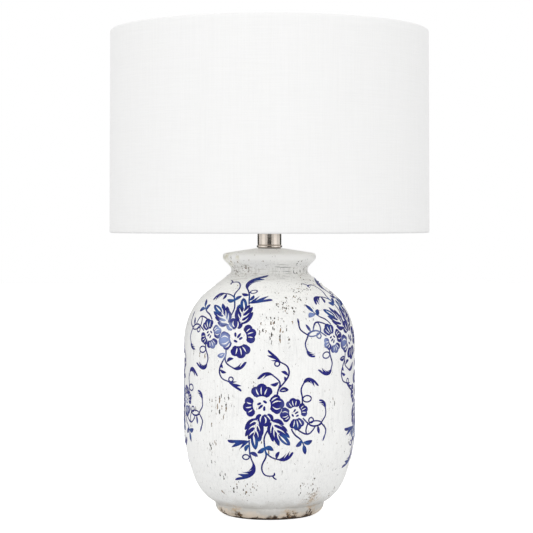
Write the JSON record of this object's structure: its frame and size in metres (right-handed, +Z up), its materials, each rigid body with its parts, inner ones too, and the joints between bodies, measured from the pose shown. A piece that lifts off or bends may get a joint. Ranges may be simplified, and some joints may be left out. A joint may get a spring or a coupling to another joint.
{
  "type": "ceramic table lamp",
  "caption": "Table lamp with a glazed ceramic jar body, a plated neck, a keyed socket and bulb, and a fabric drum shade carried on a harp and held by a finial.",
  "frame": {"origin": "on the table surface, under the middle of the foot", "axes": "+Z up along the lamp's axis; -Y is the front, +Y the back with the cord outlet; the switch knob points along +X"},
  "size_m": [0.3563, 0.3564, 0.5463],
  "materials": {
    "felt": "felt",
    "glazed_ceramic": "crackled gloss glaze, worn",
    "black_plastic": "moulded",
    "zinc_steel": "zinc plated",
    "rubber": "matte",
    "nickel": "brushed nickel plate",
    "brass": "plain",
    "bulb_alloy": "bright",
    "fibre": "plain",
    "bulb_glass": "frosted",
    "black_glass": "fired",
    "shade_fabric": "fine plain weave",
    "liner": "satin",
    "white_steel": "white paint"
  },
  "bodies": {
    "lamp_base": {"base_pad": "felt", "ceramic_jar": "glazed_ceramic", "cord_grommet": "black_plastic", "threaded_rod": "zinc_steel", "cushion_washer": "rubber", "steel_washer": "zinc_steel", "clamp_nut": "zinc_steel", "neck_gasket": "rubber", "neck_ring": "nickel", "neck_tube": "nickel", "harp_saddle": "nickel", "harp_wire": "nickel", "socket_cap": "nickel", "cap_set_screw": "zinc_steel", "socket_shell": "nickel", "insulating_sleeve": "fibre", "switch_body": "black_plastic", "terminal_screws": "brass", "screw_shell": "brass", "centre_contact": "brass"},
    "switch_key": {"switch_stem": "brass", "switch_knob": "black_plastic"},
    "front_ferrule": {"front_ferrule": "nickel"},
    "rear_ferrule": {"rear_ferrule": "nickel"},
    "bulb_contact": {"bulb_contact": "zinc_steel"},
    "bulb": {"bulb_insulator": "black_glass", "bulb_cap": "bulb_alloy", "bulb_glass": "bulb_glass"},
    "shade": {"swivel_stud": "nickel", "spider_hub": "white_steel", "spider_arms": "white_steel", "shade_top_ring": "white_steel", "shade_bottom_ring": "white_steel", "shade_liner": "liner", "shade_fabric": "shade_fabric"},
    "finial_bush": {"finial_bush": "brass"},
    "finial_knob": {"finial_knob": "nickel"}
  },
  "joints": [
    {"name": "key_turn", "type": "hinge", "parent": "lamp_base", "child": "switch_key", "pos_m": [0, 0, 0.3597], "axis": [1, 0, 0], "continuous": true},
    {"name": "front_ferrule_slide", "type": "slide", "parent": "lamp_base", "child": "front_ferrule", "axis": [0, 0, 1], "range_m": [0, 0.014]},
    {"name": "rear_ferrule_slide", "type": "slide", "parent": "lamp_base", "child": "rear_ferrule", "axis": [0, 0, 1], "range_m": [0, 0.014]},
    {"name": "bulb_rise", "type": "slide", "parent": "lamp_base", "child": "bulb_contact", "axis": [0, 0, 1], "range_m": [0, 0.01997]},
    {"name": "bulb_turn", "type": "hinge", "parent": "bulb_contact", "child": "bulb", "pos_m": [0, 0, 0.3747], "axis": [0, 0, 1], "range_deg": [0, 1980]},
    {"name": "shade_swivel", "type": "hinge", "parent": "lamp_base", "child": "shade", "pos_m": [0, 0, 0.5142], "axis": [0, 0, 1], "continuous": true},
    {"name": "finial_rise", "type": "slide", "parent": "shade", "child": "finial_bush", "axis": [0, 0, 1], "range_m": [0, 0.00612]},
    {"name": "finial_turn", "type": "hinge", "parent": "finial_bush", "child": "finial_knob", "pos_m": [0, 0, 0.5203], "axis": [0, 0, 1], "range_deg": [0, 2340]}
  ],
  "couplings": [
    {"joint": "bulb_rise", "follows": "bulb_turn", "m_per_rad": 0.00057773},
    {"joint": "finial_rise", "follows": "finial_turn", "m_per_rad": 0.00014961}
  ]
}
